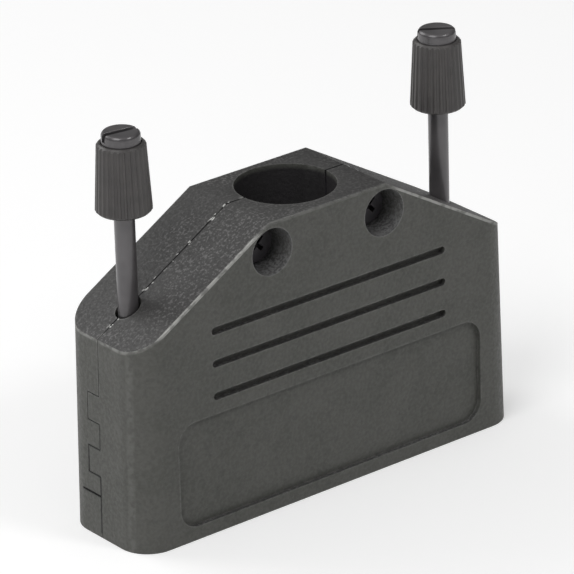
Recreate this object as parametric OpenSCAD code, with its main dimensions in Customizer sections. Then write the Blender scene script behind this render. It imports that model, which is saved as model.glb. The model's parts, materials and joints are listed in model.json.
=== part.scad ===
// Hood for a 25-way D-sub connector: two moulded half shells, captive thumbscrews, strain relief.
// It stands on its mouth. X runs along the width, the front face looks to -Y, +Z points up to
// the cable outlet. y = 0 is the parting plane, which holds both screws and the cable axis.

/* [Connector] */
// Distance between the two thumbscrew axes
screw_pitch = 47.04; // [44:0.01:70]
// Width of the connector flange beyond the screw pitch
flange_over = 6; // [5.5:0.1:8]
// Depth of the connector flange, front to rear
flange_d = 12.55; // [12.2:0.05:14]
// Thickness of the connector flange
flange_t = 1.2; // [0.8:0.1:2]

/* [Hood] */
// End wall thickness at the mouth
end_wall = 2.08; // [1.6:0.01:3.5]
// How far each end leans in between the mouth and the shoulder
end_lean = 0.65; // [0:0.05:0.8]
// Front wall thickness
front_wall = 2.1; // [2:0.1:4]
// Rear wall thickness
rear_wall = 1.2; // [1.2:0.1:4]
// Height from the mouth to the flat top
body_h = 36.7; // [36:0.1:60]
// Height of each end wall up to its shoulder
end_h = 25.3; // [21:0.1:31]
// Width of the flat top round the cable outlet
flat_w = 17.5; // [16:0.1:24]
// Radius of the upright outer corners
corner_r = 4; // [3:0.1:5]
// Gap between the two halves at the outer walls
seam = 0.1; // [0.06:0.02:0.3]

/* [Front face] */
// Number of grooves
groove_count = 3; // [0:1:4]
// Height of one groove
groove_h = 0.95; // [0.6:0.05:1.6]
// Distance from one groove to the next
groove_step = 4.13; // [3:0.01:5]
// Height of the lowest groove's centre line
groove_z = 17.4; // [16.5:0.1:20]
// Depth of the grooves
groove_depth = 0.8; // [0.3:0.1:1]
// Distance from a groove's end to the end of the hood
groove_inset = 11.15; // [8:0.05:16]
// Distance from the label field to the end of the hood
label_inset = 5.8; // [5:0.05:12]
// Lower edge of the label field
label_z = 1.74; // [1.5:0.02:4]
// Height of the label field
label_h = 13.4; // [8:0.1:14]
// Corner radius of the label field
label_r = 2.6; // [1:0.1:4]
// Depth of the label field
label_depth = 0.6; // [0.2:0.1:0.6]

/* [Cable outlet] */
// Radius of the cable outlet
outlet_r = 6.1; // [4.6:0.05:6.2]
// Wall of the collar round the cable outlet
collar_wall = 1.2; // [1:0.1:2]

/* [Thumbscrews] */
// Radius of the long shank
shank_r = 1.22; // [1:0.01:1.4]
// Radius of the threaded end
thread_r = 1.42; // [1.2:0.01:1.6]
// Length of the threaded end
thread_len = 7.5; // [5:0.1:9]
// Radius of the neck that the clip holds
neck_r = 0.88; // [0.7:0.01:1]
// Gap from the slope to the knob at rest
knob_lift = 12.15; // [9:0.05:18]
// Length of the knob
knob_len = 8.5; // [5:0.1:14]
// Depth of the recess in which the screw's head sits in the knob
head_recess = 0.8; // [0.2:0.05:1.4]
// Radius of the knob's lower end
knob_low_r = 3.34; // [2.9:0.01:5]
// Radius of the knob's upper end
knob_top_r = 2.9; // [2.7:0.01:5]
// Number of flutes round the knob
flute_count = 28; // [12:1:36]
// Depth of the flutes
flute_depth = 0.16; // [0.05:0.01:0.3]
// Radius of the slotted head
head_r = 2.31; // [2:0.01:2.6]
// Height of the slotted head
head_h = 2.15; // [1.4:0.05:3]
// Width of the driver slot
slot_w = 0.7; // [0.5:0.05:1]
// Angle to which the left head is turned
left_turn = -8; // [-90:1:90]
// Angle to which the right head is turned
right_turn = -35; // [-90:1:90]
// Travel of the screws downwards
travel_down = 6; // [3:0.1:6.4]
// Travel of the screws upwards
travel_up = 2; // [1:0.1:3]
// Thickness of the retainer clip
clip_t = 0.8; // [0.6:0.05:1.2]

/* [Fasteners] */
// Radius of the assembly and clamp screws
bolt_r = 1.22; // [0.9:0.01:1.3]
// Radius of their heads
bolt_head_r = 2.25; // [2:0.05:2.5]
// Height of their heads
bolt_head_h = 1.2; // [1:0.1:1.8]
// Width across the flats of the nuts
nut_af = 5; // [4:0.1:5.2]
// Thickness of the nuts
nut_t = 2; // [1.4:0.1:2.2]
// Radius of the counterbores in the front face
bore_r = 2.93; // [2.6:0.01:3]
// Depth of the counterbores
bore_depth = 4.2; // [2:0.1:4.4]

/* [Strain relief] */
// Length of each clamp bar
clamp_w = 22.4; // [21.8:0.1:24]
// Height of each clamp bar
clamp_h = 6.2; // [5.8:0.1:6.6]
// Gap between the two bars
clamp_gap = 3.2; // [1:0.1:3.6]
// Radius of the saddle that grips the cable
saddle_r = 4.4; // [3:0.1:4.6]
// Distance of each clamp screw from the cable axis
clamp_screw_x = 7.7; // [7.6:0.05:7.8]

/* [Hidden] */
$fn = 64;

// clearances
flange_fit = 0.15;              // round the connector flange, each side
run_fit = 0.08;                 // screw in a guiding hole
neck_fit = 0.05;                // neck in the clip's slot, clip between its stops
clip_fit = 0.1;                 // clip in its bay
press_fit = 0.02;               // screw in its knob, bolt in its nut
head_fit = 0.1;                 // head of the screw in the recess of its knob
hole_fit = 0.13;                // bolt in its through hole
nut_fit = 0.05;                 // nut in its pocket, each side
tab_fit = 0.12;                 // tab in its notch

// hood
screw_x = screw_pitch / 2;
lip_half = flange_d / 2 - 0.475;                 // half depth of the room inside
groove_half = flange_d / 2 + 0.125;              // half depth of the flange groove
front_d = lip_half + front_wall;
rear_d = lip_half + rear_wall;
cavity_x = (screw_pitch + flange_over) / 2 + flange_fit;
body_w = 2 * (cavity_x + end_wall);
cavity_r = 2.3;
roof_t = 1.7;
slope_t = 1.6;
lip_h = 1;                                       // lip below the flange groove
lean_deg = atan(end_lean / end_h);
slope_k = (body_h - end_h) / (body_w / 2 - end_lean - flat_w / 2);
slope_drop = slope_t * sqrt(1 + slope_k * slope_k);

// inside
plate_t = 1.2;
bay_wall = 0.8;
bay_x = screw_x - thread_r - 0.35;               // inner side of a screw bay
shelf_z = lip_h + flange_t + 2 * flange_fit + 0.1;
shelf_top = shelf_z + 1.3;
clip_z = shelf_top + neck_fit + travel_down;
stop_z = clip_z + clip_t + travel_up + neck_fit;
slope_hole_r = shank_r + 0.33;
tube_r = slope_hole_r + 1.05;
tube_z = 22;
rib_t = 1.2;
clamp_z = body_h - 15.9;
rib_z = clamp_z + clamp_h + 0.15;                // upper rib, start of the cable collar
clamp_back = 0.1;                                // clamp bar to shell wall

// interlock along each end: pairs of [lower edge, upper edge]
tab_depth = 2.15;
tabs = [[7.9, 11.2], [14.6, 18]];
slit_z = 5.3;
slit_h = 0.22;
slit_depth = 3.5;

// thumbscrew
head_bevel = 0.3;
knob_z = body_h - slope_k * (screw_x - flat_w / 2) + knob_lift;
knob_end = knob_z + knob_len;
head_z = knob_end - head_recess;
grip_r = shank_r + 0.38;                         // thicker length inside the knob
grip_z = knob_z + 1.4;

// fasteners
hole_r = bolt_r + hole_fit;
boss_x = outlet_r + 0.95 + hole_r;
boss_z = body_h - bore_r - 0.72;
boss_r = bore_r + 0.85;
pocket_depth = nut_t + 0.2;
bolt_len = front_d - bore_depth + rear_d - 0.1;
clamp_head_depth = bolt_head_h + 0.2;
clamp_bolt_z = clamp_z + clamp_h / 2;
clamp_out = lip_half - clamp_back;               // outer face of a clamp bar

SHELL = [0.16, 0.16, 0.15];
KNOB = [0.22, 0.21, 0.2];
STEEL = [0.35, 0.35, 0.37];
ZINC = [0.7, 0.7, 0.72];

// ---- helpers ----

// 2D shape drawn in X and Z, as a solid from y0 to y1
module across(y0, y1) {
    translate([0, y1, 0]) rotate([90, 0, 0]) linear_extrude(y1 - y0) children();
}

// round rod along Y
module rod(x, z, y0, y1, r) {
    translate([x, y1, z]) rotate([90, 0, 0]) cylinder(h = y1 - y0, r = r);
}

module both_sides() {
    children();
    mirror([1, 0, 0]) children();
}

module rounded_rect(x0, x1, y0, y1, r) {
    translate([x0 + r, y0]) square([x1 - x0 - 2 * r, y1 - y0]);
    translate([x0, y0 + r]) square([x1 - x0, y1 - y0 - 2 * r]);
    for (x = [x0 + r, x1 - r], y = [y0 + r, y1 - r])
        translate([x, y]) circle(r);
}

// slot with round ends, centred
module slot_2d(half, h) {
    translate([-half + h / 2, -h / 2]) square([2 * half - h, h]);
    for (x = [-1, 1]) translate([x * (half - h / 2), 0]) circle(h / 2);
}

// hexagon with a flat towards +X
module hexagon(af) {
    rotate(30) circle(r = af / 2 / cos(30), $fn = 6);
}

// roof line, dropped by `top` over the flat and by `side` over the slopes
module roof_2d(top, side, low) {
    out = body_w / 2 + 2;
    z_out = body_h - side - slope_k * (out - flat_w / 2);
    inner_x = flat_w / 2 + (top - side) / slope_k;
    polygon([
        [-out, low], [out, low], [out, z_out],
        [inner_x, body_h - top], [-inner_x, body_h - top], [-out, z_out]
    ]);
}

// ---- hood ----

// prism whose left side leans in; the right side lies far outside
module leaning_prism() {
    translate([-body_w / 2, 0, 0]) rotate([0, lean_deg, 0]) translate([0, 0, -5])
        linear_extrude(body_h + 15)
            rounded_rect(0, body_w + 20, -front_d, rear_d, corner_r);
}

module hood_outside() {
    intersection() {
        leaning_prism();
        mirror([1, 0, 0]) leaning_prism();
        across(-front_d - 1, rear_d + 1) roof_2d(0, 0, 0);
    }
}

// solid parts inside the room: partitions, plates, guide tubes, ribs, bosses, collar
module hood_inside() {
    both_sides() {
        translate([bay_x - bay_wall, -lip_half, shelf_z])
            cube([bay_wall, 2 * lip_half, body_h]);
        translate([bay_x, -lip_half, shelf_z])
            cube([cavity_x - bay_x, 2 * lip_half, shelf_top - shelf_z]);
        translate([bay_x, -lip_half, stop_z])
            cube([cavity_x - bay_x, 2 * lip_half, plate_t]);
        translate([screw_x, 0, tube_z]) cylinder(h = body_h, r = tube_r);
        rod(boss_x, boss_z, -lip_half, lip_half, boss_r);
        clamp_seat();
    }
    translate([0, 0, rib_z]) cylinder(h = body_h, r = outlet_r + collar_wall);
}

// ribs that hold the ends of the clamp bars
module clamp_seat() {
    seat_x = clamp_w / 2 + 0.15;
    seat_y = clamp_gap / 2 + 0.6;
    for (side = [0, 1]) mirror([0, side, 0]) {
        translate([0, seat_y, clamp_z - rib_t])
            cube([seat_x + rib_t, lip_half - seat_y, rib_t]);
        translate([0, seat_y, rib_z])
            cube([seat_x + rib_t, lip_half - seat_y, rib_t]);
        translate([seat_x, seat_y, clamp_z - rib_t])
            cube([rib_t, lip_half - seat_y, rib_z - clamp_z + 2 * rib_t]);
    }
}

// room inside the hood, open at the mouth, with the groove for the connector flange
module hood_room() {
    difference() {
        intersection() {
            translate([0, 0, -1]) linear_extrude(body_h + 1)
                rounded_rect(-cavity_x, cavity_x, -lip_half, lip_half, cavity_r);
            across(-lip_half - 1, lip_half + 1) roof_2d(roof_t, slope_drop, -1);
        }
        hood_inside();
    }
    translate([0, 0, lip_h]) linear_extrude(flange_t + 2 * flange_fit)
        rounded_rect(-cavity_x, cavity_x, -groove_half, groove_half, cavity_r + 0.1);
}

// cable outlet with a relief under its collar, and the ways of both thumbscrews
module hood_ways() {
    translate([0, 0, rib_z]) cylinder(h = body_h, r = outlet_r);
    translate([0, 0, rib_z - 0.8]) cylinder(h = 0.8, r = outlet_r + 0.4);
    translate([0, 0, clamp_z - rib_t - 1]) cylinder(h = rib_t + 2, r = saddle_r + 0.6);
    both_sides() {
        translate([screw_x, 0, 0]) cylinder(h = shelf_top + 1, r = thread_r + run_fit);
        translate([screw_x, 0, stop_z - 1]) cylinder(h = plate_t + 2, r = shank_r + run_fit);
        translate([screw_x, 0, tube_z - 1]) cylinder(h = body_h, r = slope_hole_r);
        rod(boss_x, boss_z, -front_d - 1, rear_d + 1, hole_r);
    }
}

// what lies on the front side of the parting plane; the inner parts meet face to face
module front_region() {
    translate([-body_w, -front_d - 2, -1]) cube([2 * body_w, front_d + 2 - seam / 2, body_h + 2]);
    across(-1, 0) room_2d();
}

module rear_region() {
    translate([-body_w, seam / 2, -1]) cube([2 * body_w, rear_d + 2, body_h + 2]);
    across(0, 1) room_2d();
}

module room_2d() {
    intersection() {
        roof_2d(roof_t, slope_drop, 0);
        translate([-cavity_x, 0]) square([2 * cavity_x, body_h]);
    }
}

// blocks in the end walls where one half reaches into the other
module interlock(grow) {
    both_sides() for (t = tabs)
        translate([cavity_x, -1, t[0] - grow])
            cube([end_wall + 2, 1 + tab_depth + grow, t[1] - t[0] + 2 * grow]);
}

module front_shell() {
    color(SHELL) difference() {
        intersection() {
            hood_outside();
            union() {
                front_region();
                interlock(0);
            }
        }
        hood_room();
        hood_ways();
        front_face_cuts();
    }
}

module front_face_cuts() {
    both_sides() rod(boss_x, boss_z, -front_d - 1, -front_d + bore_depth, bore_r);
    if (groove_count > 0) for (i = [0:groove_count - 1])
        across(-front_d - 1, -front_d + groove_depth)
            translate([0, groove_z + i * groove_step])
                slot_2d(body_w / 2 - groove_inset, groove_h);
    across(-front_d - 1, -front_d + label_depth)
        rounded_rect(-body_w / 2 + label_inset, body_w / 2 - label_inset,
            label_z, label_z + label_h, label_r);
}

module rear_shell() {
    color(SHELL) difference() {
        intersection() {
            hood_outside();
            rear_region();
        }
        hood_room();
        hood_ways();
        interlock(tab_fit);
        both_sides() {
            translate([boss_x, rear_d + 1, boss_z]) rotate([90, 0, 0])
                linear_extrude(pocket_depth + 1) hexagon(nut_af + 2 * nut_fit);
            translate([cavity_x - 1, -1, slit_z - slit_h / 2])
                cube([end_wall + 3, slit_depth + 1, slit_h]);
        }
    }
}

// ---- thumbscrews ----

// turned outline of the screw, from the tip up
module screw_2d() {
    neck_z = clip_z - neck_fit;
    neck_top = clip_z + clip_t + neck_fit;
    polygon([
        [0, 0], [thread_r - 0.32, 0], [thread_r, 0.45], [thread_r, thread_len],
        [shank_r, thread_len + 0.2], [shank_r, neck_z], [neck_r, neck_z],
        [neck_r, neck_top], [shank_r, neck_top], [shank_r, grip_z],
        [grip_r, grip_z], [grip_r, head_z],
        [head_r + 0.05, head_z], [head_r - 0.03, head_z + head_h - head_bevel],
        [head_r - head_bevel, head_z + head_h], [0, head_z + head_h]
    ]);
}

// bore of the knob, shaped to the screw
module knob_bore_2d() {
    polygon([
        [0, knob_z - 1], [shank_r + press_fit, knob_z - 1],
        [shank_r + press_fit, grip_z - press_fit], [grip_r + press_fit, grip_z - press_fit],
        [grip_r + press_fit, head_z], [head_r + head_fit, head_z],
        [head_r + head_fit, knob_end + 1], [0, knob_end + 1]
    ]);
}

module thumbscrew(turn) {
    color(STEEL) difference() {
        rotate_extrude() screw_2d();
        rotate([0, 0, turn]) translate([-head_r - 1, -slot_w / 2, head_z + head_h - 1])
            cube([2 * head_r + 2, slot_w, 2]);
    }
}

module knob() {
    edge = 0.3;
    taper_deg = atan((knob_low_r - knob_top_r) / knob_len);
    cutter_r = 0.28;
    color(KNOB) difference() {
        rotate_extrude() polygon([
            [0, knob_z], [knob_low_r - edge, knob_z], [knob_low_r, knob_z + edge],
            [knob_top_r, knob_end - edge], [knob_top_r - edge, knob_end], [0, knob_end]
        ]);
        rotate_extrude() knob_bore_2d();
        for (i = [0:flute_count - 1]) rotate([0, 0, i * 360 / flute_count])
            translate([knob_low_r + cutter_r - flute_depth, 0, knob_z]) rotate([0, -taper_deg, 0])
                translate([0, 0, -1]) cylinder(h = knob_len + 2, r = cutter_r);
    }
}

// U clip: fills its bay and opens towards the front
module retainer() {
    slot_r = neck_r + neck_fit;
    color(ZINC) translate([0, 0, clip_z]) linear_extrude(clip_t) difference() {
        intersection() {
            rounded_rect(-cavity_x + clip_fit, cavity_x - clip_fit,
                -lip_half + clip_fit, lip_half - clip_fit, cavity_r - clip_fit);
            translate([bay_x + clip_fit, -lip_half]) square([cavity_x, 2 * lip_half]);
        }
        translate([screw_x, 0]) circle(slot_r);
        translate([screw_x - slot_r, -lip_half]) square([2 * slot_r, lip_half]);
    }
}

// ---- fasteners, drawn along Y with the head towards the front ----

// y_seat is where the head bears
module bolt(x, z, y_seat, len) {
    recess_w = 0.55;
    recess_l = 2.5;
    difference() {
        union() {
            rod(x, z, y_seat, y_seat + len, bolt_r);
            rod(x, z, y_seat - bolt_head_h, y_seat, bolt_head_r);
        }
        for (a = [45, 135]) translate([x, y_seat - bolt_head_h, z]) rotate([0, a, 0])
            translate([-recess_l / 2, -1, -recess_w / 2]) cube([recess_l, 1.75, recess_w]);
    }
}

module assembly_bolt(side) {
    color(STEEL) bolt(side * boss_x, boss_z, -front_d + bore_depth, bolt_len);
}

module nut(x, z, y0) {
    color(ZINC) translate([x, y0 + nut_t, z]) rotate([90, 0, 0]) linear_extrude(nut_t)
        difference() {
            children();
            circle(bolt_r + press_fit);
        }
}

// ---- strain relief ----

// bar on the rear side, without its pockets
module clamp_bar() {
    difference() {
        translate([-clamp_w / 2, clamp_gap / 2, clamp_z])
            cube([clamp_w, clamp_out - clamp_gap / 2, clamp_h]);
        translate([0, 0, clamp_z - 1]) cylinder(h = clamp_h + 2, r = saddle_r);
        both_sides() rod(clamp_screw_x, clamp_bolt_z, 0, lip_half, hole_r);
    }
}

module front_clamp() {
    color(SHELL) difference() {
        mirror([0, 1, 0]) clamp_bar();
        both_sides() rod(clamp_screw_x, clamp_bolt_z,
            -lip_half, -clamp_out + clamp_head_depth, bolt_head_r + 0.1);
    }
}

module rear_clamp() {
    color(SHELL) difference() {
        clamp_bar();
        both_sides() translate([clamp_screw_x, lip_half, clamp_bolt_z]) rotate([90, 0, 0])
            linear_extrude(clamp_back + pocket_depth) rotate(90) hexagon(nut_af + 2 * nut_fit);
    }
}

module clamp_bolt(side) {
    seat = -clamp_out + clamp_head_depth;
    color(ZINC) bolt(side * clamp_screw_x, clamp_bolt_z, seat, clamp_out - seat - 0.2);
}

// ---- nodes ----

front_shell();
rear_shell();
translate([-screw_x, 0, 0]) thumbscrew(left_turn);  // left_screw
translate([screw_x, 0, 0]) thumbscrew(right_turn);  // right_screw
translate([-screw_x, 0, 0]) knob();  // left_knob
translate([screw_x, 0, 0]) knob();  // right_knob
mirror([1, 0, 0]) retainer();  // left_retainer
retainer();  // right_retainer
assembly_bolt(-1);  // left_assembly_screw
assembly_bolt(1);  // right_assembly_screw
nut(-boss_x, boss_z, rear_d - pocket_depth) hexagon(nut_af);  // left_assembly_nut
nut(boss_x, boss_z, rear_d - pocket_depth) hexagon(nut_af);  // right_assembly_nut
front_clamp();
rear_clamp();
clamp_bolt(-1);  // left_clamp_screw
clamp_bolt(1);  // right_clamp_screw
nut(-clamp_screw_x, clamp_bolt_z, clamp_out - pocket_depth) rotate(90) hexagon(nut_af);  // left_clamp_nut
nut(clamp_screw_x, clamp_bolt_z, clamp_out - pocket_depth) rotate(90) hexagon(nut_af);  // right_clamp_nut
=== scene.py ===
"""Looks of the D-sub hood: rounded moulded shells, turned screws, fluted knobs, studio light."""
import json
import math

import bmesh
import bpy
from mathutils import Matrix, Vector


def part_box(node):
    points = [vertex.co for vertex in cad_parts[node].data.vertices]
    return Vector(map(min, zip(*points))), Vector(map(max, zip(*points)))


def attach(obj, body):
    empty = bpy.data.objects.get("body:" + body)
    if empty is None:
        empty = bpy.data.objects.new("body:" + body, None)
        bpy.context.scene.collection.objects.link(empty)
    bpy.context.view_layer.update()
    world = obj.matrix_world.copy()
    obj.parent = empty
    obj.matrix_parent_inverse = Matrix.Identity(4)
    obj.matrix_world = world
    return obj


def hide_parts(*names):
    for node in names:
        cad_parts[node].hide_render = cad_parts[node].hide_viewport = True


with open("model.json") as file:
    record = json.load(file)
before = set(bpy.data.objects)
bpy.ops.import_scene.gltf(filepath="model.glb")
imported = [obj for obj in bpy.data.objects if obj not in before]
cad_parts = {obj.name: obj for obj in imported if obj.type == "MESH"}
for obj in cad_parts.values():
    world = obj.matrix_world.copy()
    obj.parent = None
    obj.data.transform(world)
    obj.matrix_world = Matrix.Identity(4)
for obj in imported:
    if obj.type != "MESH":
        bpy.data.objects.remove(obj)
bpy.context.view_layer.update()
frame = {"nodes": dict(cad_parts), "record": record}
MM = 0.001

# ---- measures of the part, in millimetres ----
FRONT_Y, REAR_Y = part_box("front_shell")[0].y / MM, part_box("rear_shell")[1].y / MM
HALF_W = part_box("front_shell")[1].x / MM
TOP_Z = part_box("front_shell")[1].z / MM
SCREW_X = 23.52
SHOULDER_Z = 25.3
BORE_X, BORE_Z = 8.4, 33.05
CORNER_WAY = (0.92, -0.39)
FLAT_X = 8.75
OUTLET_R = 6.1
HEAD_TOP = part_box("left_screw")[1].z / MM
SLOPE = (TOP_Z - SHOULDER_Z) / (HALF_W - 0.65 - FLAT_X)

# ---- camera ----
AZIMUTH, ELEVATION, ROLL = -38.16, 24.0, 1.72       # degrees
DISTANCE = 595 * MM
LENS = 5043 / 574 * 36
AIM = Vector((-0.0002, 0, 0.0235))
PIVOT = Vector((0, -0.00045, 0.025))


def camera():
    a, e, r = (math.radians(v) for v in (AZIMUTH, ELEVATION, ROLL))
    back = Vector((math.sin(a) * math.cos(e), -math.cos(a) * math.cos(e), math.sin(e)))
    eye = PIVOT + DISTANCE * back
    back = (eye - AIM).normalized()
    right = Vector((0, 0, 1)).cross(back).normalized()
    up = back.cross(right)
    right, up = (math.cos(r) * right - math.sin(r) * up, math.sin(r) * right + math.cos(r) * up)
    data = bpy.data.cameras.new("camera")
    data.lens, data.sensor_width = LENS, 36
    data.clip_start, data.clip_end = 0.05, 20
    cam = bpy.data.objects.new("camera", data)
    cam.matrix_world = Matrix((
        (right.x, up.x, back.x, eye.x),
        (right.y, up.y, back.y, eye.y),
        (right.z, up.z, back.z, eye.z),
        (0, 0, 0, 1),
    ))
    bpy.context.scene.collection.objects.link(cam)
    bpy.context.scene.camera = cam


camera()


# ---- node helpers ----
class Nodes:
    """Builds the node tree of one material."""

    def __init__(self, name):
        self.mat = bpy.data.materials.new(name)
        self.mat.use_nodes = True
        self.tree = self.mat.node_tree
        self.shader = self.tree.nodes["Principled BSDF"]
        self.where = self.tree.nodes.new("ShaderNodeTexCoord").outputs["Object"]

    def put(self, socket, value):
        if isinstance(value, bpy.types.NodeSocket):
            self.tree.links.new(value, socket)
        elif value is not None:
            socket.default_value = value

    def math(self, operation, a, b=None, c=None, clamp=False):
        n = self.tree.nodes.new("ShaderNodeMath")
        n.operation, n.use_clamp = operation, clamp
        for socket, value in zip(n.inputs, (a, b, c)):
            self.put(socket, value)
        return n.outputs[0]

    def noise(self, scale, detail=2.0, rough=0.5, vector=None):
        n = self.tree.nodes.new("ShaderNodeTexNoise")
        self.put(n.inputs["Vector"], vector or self.where)
        n.inputs["Scale"].default_value = scale
        n.inputs["Detail"].default_value = detail
        n.inputs["Roughness"].default_value = rough
        return n.outputs["Fac"]

    def ramp(self, value, low, high, to_low=0.0, to_high=1.0, smooth=True):
        n = self.tree.nodes.new("ShaderNodeMapRange")
        n.interpolation_type = "SMOOTHSTEP" if smooth else "LINEAR"
        for socket, v in zip(n.inputs, (value, low, high, to_low, to_high)):
            self.put(socket, v)
        return n.outputs[0]

    def mix(self, factor, a, b):
        n = self.tree.nodes.new("ShaderNodeMix")
        n.data_type = "RGBA"
        self.put(n.inputs["Factor"], factor)
        self.put(n.inputs[6], (*a, 1) if isinstance(a, tuple) else a)
        self.put(n.inputs[7], (*b, 1) if isinstance(b, tuple) else b)
        return n.outputs[2]

    def axes(self):
        n = self.tree.nodes.new("ShaderNodeSeparateXYZ")
        self.tree.links.new(self.where, n.inputs[0])
        return n.outputs

    def edges(self, radius):
        """1 on edges, 0 on flat ground, from the angle between the plain and the rounded normal."""
        soft = self.tree.nodes.new("ShaderNodeBevel")
        soft.samples = 4
        soft.inputs["Radius"].default_value = radius
        geometry = self.tree.nodes.new("ShaderNodeNewGeometry")
        dot = self.tree.nodes.new("ShaderNodeVectorMath")
        dot.operation = "DOT_PRODUCT"
        self.tree.links.new(soft.outputs[0], dot.inputs[0])
        self.tree.links.new(geometry.outputs["True Normal"], dot.inputs[1])
        return self.math("SUBTRACT", 1.0, dot.outputs["Value"], clamp=True)

    def facing_up(self):
        geometry = self.tree.nodes.new("ShaderNodeNewGeometry")
        n = self.tree.nodes.new("ShaderNodeSeparateXYZ")
        self.tree.links.new(geometry.outputs["Normal"], n.inputs[0])
        return n.outputs["Z"]

    def along(self, way):
        """How far the normal agrees with the horizontal way (on the right) and with its mirror image."""
        geometry = self.tree.nodes.new("ShaderNodeNewGeometry")
        n = self.tree.nodes.new("ShaderNodeSeparateXYZ")
        self.tree.links.new(geometry.outputs["Normal"], n.inputs[0])
        side = self.math("ABSOLUTE", n.outputs["X"])
        return self.math("ADD", self.math("MULTIPLY", side, way[0]), self.math("MULTIPLY", n.outputs["Y"], way[1]))

    def bump(self, height, distance, strength=1.0):
        n = self.tree.nodes.new("ShaderNodeBump")
        n.inputs["Strength"].default_value = strength
        n.inputs["Distance"].default_value = distance
        self.put(n.inputs["Height"], height)
        self.tree.links.new(n.outputs[0], self.shader.inputs["Normal"])

    def finish(self, color, rough, metal=0.0):
        self.put(self.shader.inputs["Base Color"], color)
        self.put(self.shader.inputs["Roughness"], rough)
        self.shader.inputs["Metallic"].default_value = metal
        return self.mat


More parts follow.
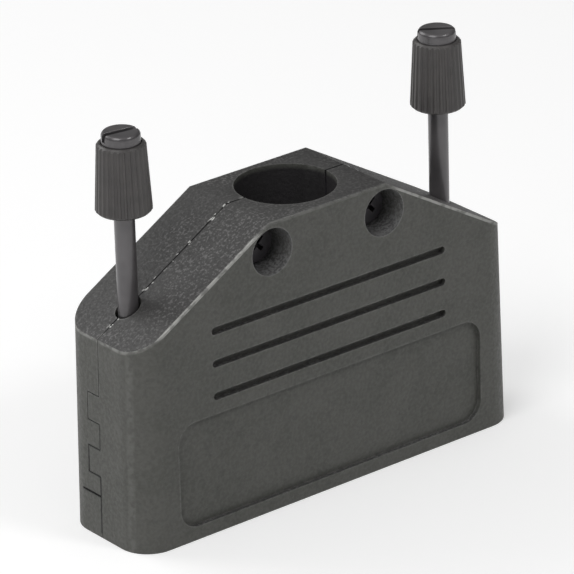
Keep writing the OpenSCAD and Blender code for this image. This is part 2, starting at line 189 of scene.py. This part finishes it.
def hood_plastic():
    """Matt spark-eroded plastic: speckled on top with painted sparkle and painted darker there, edges lightened
    partly by wear and partly by painted highlights, painted shade in the seams, chips and painted glints along the
    slope seam, painted light on the counterbore walls.
    """
    n = Nodes("hood_plastic")
    x, y, z = n.axes()
    up = n.facing_up()
    broad = n.noise(160, 3, 0.55)
    grain = n.noise(2300, 2, 0.6)
    specks = n.noise(1300, 1, 0.5)
    spark = n.noise(3100, 1, 0.55)
    tone = n.mix(n.ramp(broad, 0.35, 0.65), (0.066, 0.067, 0.059), (0.078, 0.078, 0.07))
    tone = n.mix(n.ramp(grain, 0.35, 0.7, 0, 0.25), tone, (0.12, 0.12, 0.112))
    tone = n.mix(n.ramp(specks, 0.3, 0.42, 0.25, 0), tone, (0.045, 0.045, 0.042))
    # painted light on upward faces: they are painted darker, and pale and dark specks stand in for the sparkle of
    # glancing light
    top = n.ramp(up, 0.4, 0.8)
    tone = n.mix(n.math("MULTIPLY", top, 0.8), tone, (0.042, 0.0405, 0.041))
    patch = n.ramp(n.noise(110, 1), 0.4, 0.6, 0.35, 1)
    light = n.math("MULTIPLY", patch, n.ramp(spark, 0.52, 0.68, 0, 0.62))
    tone = n.mix(n.math("MULTIPLY", top, light), tone, (0.17, 0.166, 0.165))
    tone = n.mix(n.math("MULTIPLY", top, n.ramp(spark, 0.33, 0.47, 0.6, 0)), tone, (0.032, 0.031, 0.031))
    # edges lightened, partly as wear and partly as a painted highlight
    edge_breakup = n.ramp(specks, 0.38, 0.6, 0.3, 1)
    edge_wear_and_highlight = n.math("MULTIPLY", n.ramp(n.edges(0.4 * MM), 0.04, 0.22), edge_breakup)
    tone = n.mix(n.math("MULTIPLY", edge_wear_and_highlight, 0.6), tone, (0.2, 0.2, 0.19))
    # the front edge of the roof gets a thin pale line, partly wear and partly a painted highlight
    ridge = n.math("MULTIPLY", n.math("SUBTRACT", n.math("ABSOLUTE", x), FLAT_X * MM), SLOPE)
    below = n.math("SUBTRACT", n.math("SUBTRACT", TOP_Z * MM, n.math("MAXIMUM", ridge, 0.0)), z)
    brow = n.math("ADD", n.math("SUBTRACT", y, FRONT_Y * MM), n.math("MULTIPLY", below, 0.86))
    on_slope = n.ramp(z, (TOP_Z - 1.6) * MM, (TOP_Z - 0.4) * MM, 1, 0.15)
    brow = n.math("MULTIPLY", n.ramp(brow, 0.25 * MM, 0.33 * MM, 1, 0), on_slope)
    brow = n.math("MULTIPLY", brow, n.ramp(n.noise(900, 1), 0.36, 0.56, 0.35, 1))
    tone = n.mix(n.math("MULTIPLY", brow, 0.9), tone, (0.4, 0.4, 0.38))
    # a painted highlight down each vertical front rounding, where the normal faces CORNER_WAY; and a pale line on
    # the rim of the shoulder above it, partly wear and partly a painted highlight
    corner_highlight = n.ramp(n.along(CORNER_WAY), 0.985, 0.999, 0, 0.4)
    corner_highlight = n.math("MULTIPLY", corner_highlight, edge_breakup)
    tone = n.mix(corner_highlight, tone, (0.17, 0.17, 0.16))
    rim = n.math("MULTIPLY", n.ramp(below, 0.2 * MM, 0.5 * MM, 1, 0), n.ramp(up, 0.6, 0.8, 1, 0))
    rim = n.math("MULTIPLY", rim, n.ramp(n.math("ABSOLUTE", x), 23 * MM, 24 * MM))
    tone = n.mix(n.math("MULTIPLY", rim, n.math("MULTIPLY", edge_breakup, 0.7)), tone, (0.3, 0.3, 0.285))
    # painted shade in the interlocking seam of the end walls
    end = n.ramp(n.math("ABSOLUTE", x), (HALF_W - 0.5) * MM, (HALF_W - 0.2) * MM)
    end = n.math("MULTIPLY", end, n.ramp(z, 20.5 * MM, 21 * MM, 1, 0))
    end = n.math("MULTIPLY", end, n.ramp(z, 0.3 * MM, 0.8 * MM))
    end_seam_shade = n.math("MULTIPLY", end, n.ramp(n.edges(0.3 * MM), 0.002, 0.03))
    tone = n.mix(n.math("MULTIPLY", end_seam_shade, 0.9), tone, (0.008, 0.008, 0.008))
    # painted light on the walls of the counterbores
    from_bore = n.math("SQRT", n.math(
        "ADD",
        n.math("POWER", n.math("SUBTRACT", n.math("ABSOLUTE", x), BORE_X * MM), 2.0),
        n.math("POWER", n.math("SUBTRACT", z, BORE_Z * MM), 2.0)))
    bore_wall_light = n.math("MULTIPLY", n.ramp(from_bore, 2.95 * MM, 3.0 * MM, 1, 0), n.ramp(from_bore, 2.7 * MM, 2.8 * MM))
    bore_wall_light = n.math("MULTIPLY", bore_wall_light, n.ramp(y, (FRONT_Y + 4.3) * MM, (FRONT_Y + 4.5) * MM, 1, 0))
    bore_wall_light = n.math("MULTIPLY", bore_wall_light, n.ramp(spark, 0.4, 0.6, 0.3, 0.8))
    tone = n.mix(bore_wall_light, tone, (0.2, 0.2, 0.2))
    # the seam on the slopes: a painted shade line in the gap, with pale spots on both sides, partly chips and
    # partly painted glints
    off = n.math("ABSOLUTE", y)
    high = n.ramp(z, 25.6 * MM, 26.2 * MM)
    line = n.math("MULTIPLY", n.ramp(off, 0.1 * MM, 0.22 * MM, 1, 0), n.ramp(n.noise(420, 0), 0.36, 0.46, 0.5, 1))
    tone = n.mix(n.math("MULTIPLY", high, line), tone, (0.006, 0.006, 0.006))
    chip_and_glint = n.math("MULTIPLY", n.ramp(n.noise(1500, 1), 0.6, 0.64), n.ramp(n.noise(260, 0), 0.42, 0.55))
    chip_and_glint = n.math("MULTIPLY", n.math("MULTIPLY", chip_and_glint, high), n.ramp(off, 0.16 * MM, 0.34 * MM, 1, 0))
    tone = n.mix(chip_and_glint, tone, (0.55, 0.55, 0.53))
    # the unlit inside of the cable collar
    across = n.math("SQRT", n.math("ADD", n.math("MULTIPLY", x, x), n.math("MULTIPLY", y, y)))
    inside = n.math("MULTIPLY", n.ramp(across, 6.12 * MM, 6.2 * MM, 1, 0), n.ramp(z, 35.9 * MM, 36.5 * MM, 1, 0))
    tone = n.mix(n.math("MULTIPLY", inside, 0.85), tone, (0.014, 0.012, 0.015))
    height = n.math("ADD", n.math("MULTIPLY", grain, 0.6), n.math("MULTIPLY", specks, 0.5))
    n.bump(height, 0.12 * MM, 0.8)
    n.shader.inputs["Specular IOR Level"].default_value = 0.5
    return n.finish(tone, n.ramp(grain, 0.3, 0.7, 0.62, 0.48))


def knob_plastic():
    n = Nodes("knob_plastic")
    broad = n.noise(300, 2)
    grain = n.noise(2600, 2, 0.6)
    tone = n.mix(n.ramp(broad, 0.35, 0.65), (0.055, 0.051, 0.05), (0.072, 0.067, 0.065))
    # edges lightened, partly as wear and partly as a painted highlight
    edge_wear_and_highlight = n.math("MULTIPLY", n.ramp(n.edges(0.2 * MM), 0.02, 0.3), n.ramp(grain, 0.35, 0.65, 0.3, 1))
    tone = n.mix(n.math("MULTIPLY", edge_wear_and_highlight, 0.45), tone, (0.2, 0.19, 0.185))
    n.bump(grain, 0.02 * MM, 0.5)
    return n.finish(tone, n.ramp(broad, 0.3, 0.7, 0.34, 0.44))


def turned_steel(name, dark, light, rough, metal=1.0, coat=0.0):
    """Metal with fine rings from turning."""
    n = Nodes(name)
    x, y, z = n.axes()
    stretch = n.tree.nodes.new("ShaderNodeMapping")
    stretch.inputs["Scale"].default_value = (60, 60, 5000)
    n.tree.links.new(n.where, stretch.inputs["Vector"])
    rings = n.noise(1, 3, 0.6, stretch.outputs[0])
    cloud = n.noise(300, 2, 0.5)
    tone = n.mix(n.ramp(cloud, 0.3, 0.7), dark, light)
    # edges lightened, partly as wear and partly as a painted highlight
    edge_wear_and_highlight = n.ramp(n.edges(0.12 * MM), 0.02, 0.3)
    tone = n.mix(n.math("MULTIPLY", edge_wear_and_highlight, 0.5), tone, tuple(min(1, 2.2 * v) for v in light))
    n.bump(rings, 0.006 * MM, 0.5)
    n.shader.inputs["Coat Weight"].default_value = coat
    n.shader.inputs["Coat Roughness"].default_value = 0.12
    return n.finish(tone, n.ramp(cloud, 0.3, 0.7, rough, rough + 0.1), metal)


def clamp_plastic():
    n = Nodes("clamp_plastic")
    grain = n.noise(2300, 2, 0.6)
    broad = n.noise(200, 2)
    tone = n.mix(n.ramp(broad, 0.35, 0.65), (0.052, 0.052, 0.05), (0.066, 0.066, 0.063))
    # edges lightened, partly as wear and partly as a painted highlight
    edge_wear_and_highlight = n.ramp(n.edges(0.2 * MM), 0.02, 0.3, 0, 0.4)
    tone = n.mix(edge_wear_and_highlight, tone, (0.16, 0.16, 0.155))
    n.bump(grain, 0.04 * MM, 0.5)
    return n.finish(tone, n.ramp(grain, 0.3, 0.7, 0.6, 0.5))


MATERIALS = {
    "hood_plastic": hood_plastic(),
    "knob_plastic": knob_plastic(),
    "blackened_steel": turned_steel("blackened_steel", (0.095, 0.09, 0.093), (0.13, 0.123, 0.127), 0.4, 0.6, 0.5),
    "burnished_steel": turned_steel("burnished_steel", (0.045, 0.042, 0.046), (0.065, 0.06, 0.066), 0.4, 0.6, 0.3),
    "zinc_steel": turned_steel("zinc_steel", (0.36, 0.36, 0.375), (0.47, 0.47, 0.48), 0.3),
    "clamp_plastic": clamp_plastic(),
}
SLOTS = {s["node"]: s["material_slot"] for s in frame["record"]["subparts"]}


# ---- shells with rounded edges ----
SHARP = math.radians(38)


def clean_copy(node):
    """The CAD node's mesh, welded and without the lines inside flat faces."""
    bm = bmesh.new()
    bm.from_mesh(frame["nodes"][node].data)
    bmesh.ops.remove_doubles(bm, verts=bm.verts, dist=0.002 * MM)
    bmesh.ops.dissolve_degenerate(bm, dist=0.002 * MM, edges=bm.edges)
    bmesh.ops.dissolve_limit(bm, angle_limit=math.radians(0.3), verts=bm.verts, edges=bm.edges)
    return bm


def roof(x):
    return min(TOP_Z, TOP_Z - SLOPE * (abs(x) - FLAT_X))


def shell_radius(a, b):
    """Rounding of the convex edge from a to b, in millimetres, or None."""
    m = (a + b) / 2
    on_face = min(a.y, b.y) < FRONT_Y + 0.02 and max(a.y, b.y) < FRONT_Y + 0.02 or min(a.y, b.y) > REAR_Y - 0.02
    depth = min(roof(m.x) - m.z, HALF_W - abs(m.x), m.z)
    if on_face and depth < 0.9:
        return 0.15 if m.z < 0.1 else 0.42
    if on_face:
        return 0.16
    if abs(m.y) < 0.4 or abs(a.y) < 0.2 or abs(b.y) < 0.2:
        return None
    if m.z > TOP_Z - 0.05 and math.hypot(m.x, m.y) < OUTLET_R + 0.2:
        return 0.16
    if m.z > TOP_Z - 0.1 and abs(abs(m.x) - FLAT_X) < 0.1:
        return 0.3
    if abs(m.z - SHOULDER_Z) < 0.5 and abs(m.x) > HALF_W - 4.5 and abs(roof(m.x) - m.z) < 0.3:
        return 0.42
    return None


def screw_radius(a, b):
    """The rim of the screw's head is rounded; the slot and the shank stay sharp."""
    low = min(a.z, b.z)
    far = [math.hypot(abs(v.x) - SCREW_X, v.y) for v in (a, b)]
    if low > HEAD_TOP - 0.02 and min(far) > 1.6 and abs(far[0] - far[1]) < 0.05:
        return 0.16
    if low > HEAD_TOP - 0.5 and abs(a.z - b.z) < 0.01 and min(far) > 2.1:
        return 0.16
    return None


def rounded(node, radius, name, body, segments=3):
    bm = clean_copy(node)
    layer = bm.edges.layers.int.new("group")
    groups = set()
    for e in bm.edges:
        if len(e.link_faces) != 2 or e.calc_face_angle_signed(0) < math.radians(25):
            continue
        r = radius(e.verts[0].co / MM, e.verts[1].co / MM)
        if r:
            e[layer] = round(r * 100)
            groups.add(r)
    for r in sorted(groups, reverse=True):
        picked = [e for e in bm.edges if e[layer] == round(r * 100)]
        bmesh.ops.bevel(
            bm, geom=picked, offset=r * MM, offset_type="OFFSET", segments=segments, profile=0.5,
            affect="EDGES", clamp_overlap=True, loop_slide=True)
    bm.edges.layers.int.remove(bm.edges.layers.int["group"])
    bmesh.ops.dissolve_degenerate(bm, dist=0.002 * MM, edges=bm.edges)
    for e in bm.edges:
        e.smooth = len(e.link_faces) == 2 and e.calc_face_angle(math.pi) < SHARP
    mesh = bpy.data.meshes.new(name)
    bm.to_mesh(mesh)
    bm.free()
    mesh.polygons.foreach_set("use_smooth", [True] * len(mesh.polygons))
    piece = bpy.data.objects.new(name, mesh)
    bpy.context.scene.collection.objects.link(piece)
    normals = piece.modifiers.new("normals", "WEIGHTED_NORMAL")
    normals.keep_sharp = True
    mesh.materials.append(MATERIALS[SLOTS[node]])
    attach(piece, body)
    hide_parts(node)
    return piece


for node in ("front_shell", "rear_shell"):
    rounded(node, shell_radius, node + "_moulding", "hood")
for side in ("left", "right"):
    rounded(side + "_screw", screw_radius, side + "_screw_turned", side + "_thumbscrew")

for name, o in frame["nodes"].items():
    o.data.materials.clear()
    o.data.materials.append(MATERIALS["burnished_steel" if "assembly_screw" in name else SLOTS[name]])

# ---- floor and light ----
PAPER_LIFT = 0.33
FLOOR_GAP = 0.02 * MM      # the rim and the floor share no plane
WORLD_LOW, WORLD_HIGH = 0.08, 0.42

bpy.ops.mesh.primitive_plane_add(size=4)
floor = bpy.context.object
floor.name = "floor"


def floor_paper():
    """White paper, lifted a little for the camera so that it stays white outside the shadow."""
    n = Nodes("floor_paper")
    n.finish(n.mix(n.ramp(n.noise(3, 2), 0.3, 0.7), (0.8, 0.8, 0.8), (0.82, 0.82, 0.82)), 0.9)
    n.shader.inputs["Specular IOR Level"].default_value = 0.1
    path = n.tree.nodes.new("ShaderNodeLightPath")
    seen = n.math("MAXIMUM", path.outputs["Is Camera Ray"], path.outputs["Is Glossy Ray"])
    n.shader.inputs["Emission Color"].default_value = (1, 1, 1, 1)
    n.put(n.shader.inputs["Emission Strength"], n.math("MULTIPLY", seen, PAPER_LIFT))
    return n.mat


floor.data.materials.append(floor_paper())
floor.location.z = -FLOOR_GAP


def studio():
    """Soft light from above, darker towards the horizon."""
    world = bpy.data.worlds.new("studio")
    bpy.context.scene.world = world
    world.use_nodes = True
    tree = world.node_tree
    way = tree.nodes.new("ShaderNodeTexCoord")
    axes = tree.nodes.new("ShaderNodeSeparateXYZ")
    tree.links.new(way.outputs["Generated"], axes.inputs[0])
    ramp = tree.nodes.new("ShaderNodeMapRange")
    ramp.interpolation_type = "SMOOTHSTEP"
    tree.links.new(axes.outputs["Z"], ramp.inputs[0])
    for k, v in enumerate((0.0, 0.9, WORLD_LOW, WORLD_HIGH), 1):
        ramp.inputs[k].default_value = v
    back = tree.nodes["Background"]
    back.inputs["Color"].default_value = (1, 1, 1, 1)
    tree.links.new(ramp.outputs[0], back.inputs["Strength"])


studio()
bpy.context.scene.view_settings.view_transform = "Standard"


def area(name, azimuth, elevation, distance, size, power):
    """A square lamp aimed at the middle of the object. Azimuth 0 is in front of it, -90 on its left."""
    a, e = math.radians(azimuth), math.radians(elevation)
    to = Vector((math.sin(a) * math.cos(e), -math.cos(a) * math.cos(e), math.sin(e)))
    data = bpy.data.lights.new(name, "AREA")
    data.energy, data.size = power, size
    o = bpy.data.objects.new(name, data)
    o.location = Vector((0, 0, 0.02)) + distance * to
    o.rotation_euler = to.to_track_quat("Z", "Y").to_euler()
    bpy.context.scene.collection.objects.link(o)


area("key", -70, 48, 0.7, 0.4, 1.9)
area("fill", 22, 45, 0.7, 0.15, 0.8)
area("back", -155, 34, 0.7, 0.4, 1.4)
